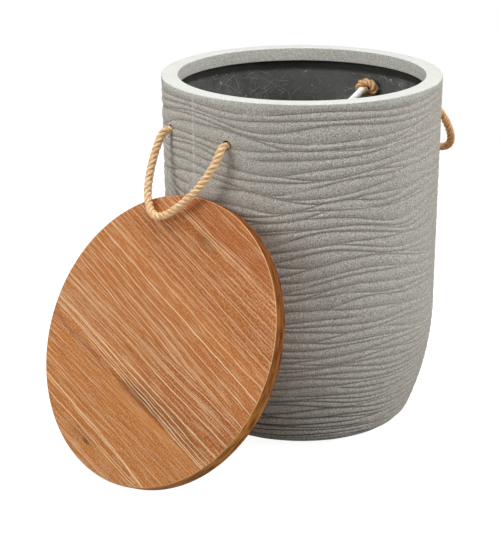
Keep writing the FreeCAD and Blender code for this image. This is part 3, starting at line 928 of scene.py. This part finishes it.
def sleeve(name, line, run, radius, material):
    """Tape wound on a rope's end: a tube with an inner wall joined to it at both ends.

    Its radius steps up along a helix, dents by a product of two cosines and shrinks towards both ends.
    """
    around = TAPE_SIDES
    _, across, over = carried_frame(line)
    turn = turns(around)
    winding = (run[:, None] / TAPE_PITCH - turn[None, :] / (2 * math.pi)) % 1
    dents = np.cos(3 * turn[None, :] + run[:, None] * 160) * np.cos(run[:, None] * 230 + turn[None, :])
    outer = radius + TAPE_STEP * smooth_step(winding, 0.0, 0.12) - TAPE_DENT * dents
    for from_end in (run, run[-1] - run):
        outer = outer - TAPE_SHRINK * np.exp(-from_end[:, None] / TAPE_SHRINK_REACH)
    inner = np.full_like(outer, radius - TAPE_WALL)
    size = np.concatenate([outer, inner[::-1]])
    centre = np.concatenate([line, line[::-1]])
    side = np.concatenate([across, across[::-1]])
    top = np.concatenate([over, over[::-1]])
    points = centre[:, None] + size[..., None] * circle(turn, side[:, None], top[:, None])
    rows = len(size)
    numbers = np.arange(around)
    last = (rows - 1) * around
    closing = np.stack([last + numbers, last + np.roll(numbers, -1), np.roll(numbers, -1), numbers], axis=1)
    faces = ring_faces(rows, around) + closing.tolist()
    made = piece(name, points, faces, [material])
    store_grid(made, np.tile(turn / (2 * math.pi), (rows, 1)).ravel(),
               np.repeat(np.concatenate([run, run[::-1]]), around))
    return made


def knot(side_name, end_name, side, end, rope_paint, tape_paint):
    """One stopper knot with its tail, and the tape round the tail's last stretch."""
    line, run = spline_points(in_hole(side, end, knot_places(0.0055 + 0.0025 * end)), ROUTE_STEP)
    bound = run > run[-1] - TAPE_LENGTH
    thin = smooth_step(run, run[-1] - TAPE_LENGTH - 0.012, run[-1] - TAPE_LENGTH)
    size = KNOT_ROPE_DIAMETER * (0.8 + 0.2 * smooth_step(run, 0.002, 0.014))
    size = size + thin * (TAIL_DIAMETER - size)
    made = rope(f"rope_stopper_{side_name}_{end_name}", line, run, size, rope_paint, KNOT_HAIRS,
                len(line) - bound.sum() + 12)
    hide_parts(f"rope_knot_{side_name}_{end_name}")
    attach(made, "drum")
    tape = sleeve(f"rope_binding_{side_name}_{end_name}", line[bound], run[bound] - run[bound][0],
                  TAIL_DIAMETER / 2 + 0.0005, tape_paint)
    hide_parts(f"rope_tape_{side_name}_{end_name}")
    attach(tape, "drum")
    return [made, tape]


def coat(name, material):
    """Gives a CAD node its material."""
    slots = nodes[name].data.materials
    slots.clear()
    slots.append(material)


def paint_lid():
    """Gives each board, batten and screw of the lid its material.

    A board has its grain's angle in degrees, a seed, three tones, the pith's place across and depth, and
    the amount of lime; its spots follow.
    """
    brown, tan = tone(194, 122, 66), tone(208, 144, 86)
    grey_dark, grey = tone(174, 104, 56), tone(200, 130, 74)
    red_dark, red = tone(158, 88, 45), tone(186, 110, 58)
    streak = tone(118, 72, 40)
    orange = tone(206, 140, 78)
    knot_dark = tone(92, 62, 44)
    boards = {
        "lid_board_1": (-19.5, 1.7, tone(168, 102, 56), tone(198, 130, 74), tan, -0.30, 0.10, 0.8, [
            (-0.010, -0.167, 0.009, 0.0035, 0.75, knot_dark),
            (-0.022, -0.164, 0.04, 0.008, 0.3, streak)]),
        "lid_board_2": (-19.0, 3.1, tone(168, 100, 52), tone(200, 129, 71), orange, -0.20, 0.09, 0.75, [
            (0.02, -0.0785, 0.05, 0.004, 0.5, streak),
            (0.06, -0.0870, 0.14, 0.008, 0.65, orange)]),
        "lid_board_3": (-21.0, 5.9, red_dark, brown, tan, -0.16, 0.11, 0.9, [
            (0.030, -0.0715, 0.065, 0.0105, 0.6, streak),
            (0.085, -0.064, 0.12, 0.020, 0.45, streak),
            (-0.1, -0.074, 0.11, 0.004, 0.4, streak),
            (-0.13, -0.045, 0.10, 0.04, 0.15, tone(206, 156, 114))]),
        "lid_board_4": (-27.0, 8.3, grey_dark, grey, tan, 0.16, 0.12, 0.95),
        "lid_board_5": (-26.5, 12.7, red_dark, brown, tan, 0.24, 0.12, 0.75, [
            (-0.032, 0.139, 0.03, 0.010, 0.5, streak),
            # painted shadow of the rope: a dark spot just under the rope's lowest point on the lid
            (-0.097, 0.114, 0.016, 0.006, 0.45, streak)]),
        "lid_board_6": (-25.5, 17.1, red_dark, red, brown, 0.30, 0.10, 0.7),
    }
    planed = tone(150, 96, 58), tone(180, 122, 78), tone(196, 140, 94), 0.1, 0.08, 0.25
    boards["lid_batten_upper"] = (GRAIN_ANGLE + 90, 23.0, *planed)
    boards["lid_batten_lower"] = (GRAIN_ANGLE + 90, 29.0, *planed)
    for name, looks in boards.items():
        coat(name, wood_material(f"{name}_wood", *looks))
    coat("lid_batten_screws", screw_material())


def floor():
    """A white disc under the object, and white all round it; the disc keeps the object's soft shadow.

    Its own grey throws little light back; what the camera and mirrors see is lifted to white.
    """
    ring = (-0.1, 0, -0.0004) + FLOOR_RADIUS * circle(turns(FLOOR_SIDES), *np.eye(3)[:2])
    paint = Paint("studio_floor")
    paint.finish(tone(150, 150, 149), 0.9, None, 0.0)
    glow = paint.node("ShaderNodeEmission", (), {"Color": WHITE, "Strength": FLOOR_LIFT})
    dark = paint.node("ShaderNodeEmission", (), {"Color": (0, 0, 0, 1), "Strength": 0.0})
    seen = paint.seen_by("Is Camera Ray", "Is Glossy Ray")
    lift = paint.node("ShaderNodeMixShader", (), {0: seen, 1: dark, 2: glow})
    both = paint.node("ShaderNodeAddShader", (), {0: Number(paint, paint.surface.outputs[0]), 1: lift})
    paint.feed(paint.tree.nodes["Material Output"].inputs["Surface"], both)
    disc = piece("studio_floor", ring, [list(range(FLOOR_SIDES))], [paint.material])


def studio_light():
    """Soft light: a pale surround, a panel overhead, a key panel at the left and a fill at the right."""
    world = bpy.data.worlds.new("studio")
    world.use_nodes = True
    bpy.context.scene.world = world
    sky = Nodes(world.node_tree)
    sky.tree.nodes.remove(sky.tree.nodes["Background"])
    white = sky.node("ShaderNodeBackground", (), {"Color": WHITE, "Strength": 1.0})
    pale = sky.node("ShaderNodeBackground", (), {"Color": WHITE, "Strength": SURROUND_LIGHT})
    shown = sky.seen_by("Is Camera Ray", "Is Transmission Ray")
    either = sky.node("ShaderNodeMixShader", (), {0: shown, 1: pale, 2: white})
    sky.feed(sky.tree.nodes["World Output"].inputs["Surface"], either)
    for name, spot, aim, size, power in PANELS:
        light = bpy.data.lights.new(name, "AREA")
        light.shape = "DISK"
        light.size = size
        light.energy = power
        lamp = bpy.data.objects.new(name, light)
        bpy.context.scene.collection.objects.link(lamp)
        lamp.location = spot
        lamp.rotation_euler = (Vector(aim) - Vector(spot)).to_track_quat("-Z", "Y").to_euler()


def photo_camera():
    """The photograph's view, from the fitted camera's place, directions and lens."""
    ahead = Vector(CAMERA_AHEAD).normalized()
    right = ahead.cross(Vector(CAMERA_ABOVE)).normalized()
    above = right.cross(ahead)
    data = bpy.data.cameras.new("photo_camera")
    data.sensor_width = SENSOR_WIDTH
    data.lens = FOCAL_LENGTH * SENSOR_WIDTH / PHOTO_HEIGHT
    camera = bpy.data.objects.new("photo_camera", data)
    bpy.context.scene.collection.objects.link(camera)
    turn = Matrix((right, above, -ahead)).transposed().to_4x4()
    camera.matrix_world = Matrix.Translation(CAMERA_PLACE) @ turn
    bpy.context.scene.camera = camera


photo_camera()
casting = drum()
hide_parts("drum_shell")
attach(casting, "drum")

rope_paints = {
    "left": rope_material("rope_fibre_left", tone(231, 164, 105), tone(255, 234, 192), tone(254, 204, 146),
                          tone(150, 86, 44)),
    # painted shade: the right handle's tones are a darker copy of the left handle's
    "right": rope_material("rope_fibre_right_shaded", tone(192, 122, 66), tone(246, 202, 150), tone(228, 164, 104),
                           tone(138, 78, 38))}
knot_paint = rope_material("rope_fibre_knots", tone(164, 94, 46), tone(255, 216, 166), tone(222, 152, 96),
                           tone(98, 50, 22))
tape_paint = tape_material()
sides = (("left", -1, LEFT_TILT, LEFT_ROUTE), ("right", 1, RIGHT_TILT, RIGHT_ROUTE))
for side_name, side, tilt, route in sides:
    loop, line, length = handle(side_name, side, tilt, route, rope_paints[side_name])
    with_loop = []
    for end_name, end in (("front", -1), ("back", 1)):
        with_loop += knot(side_name, end_name, side, end, knot_paint, tape_paint)

paint_lid()
floor()
studio_light()
bpy.context.scene.view_settings.view_transform = "Standard"
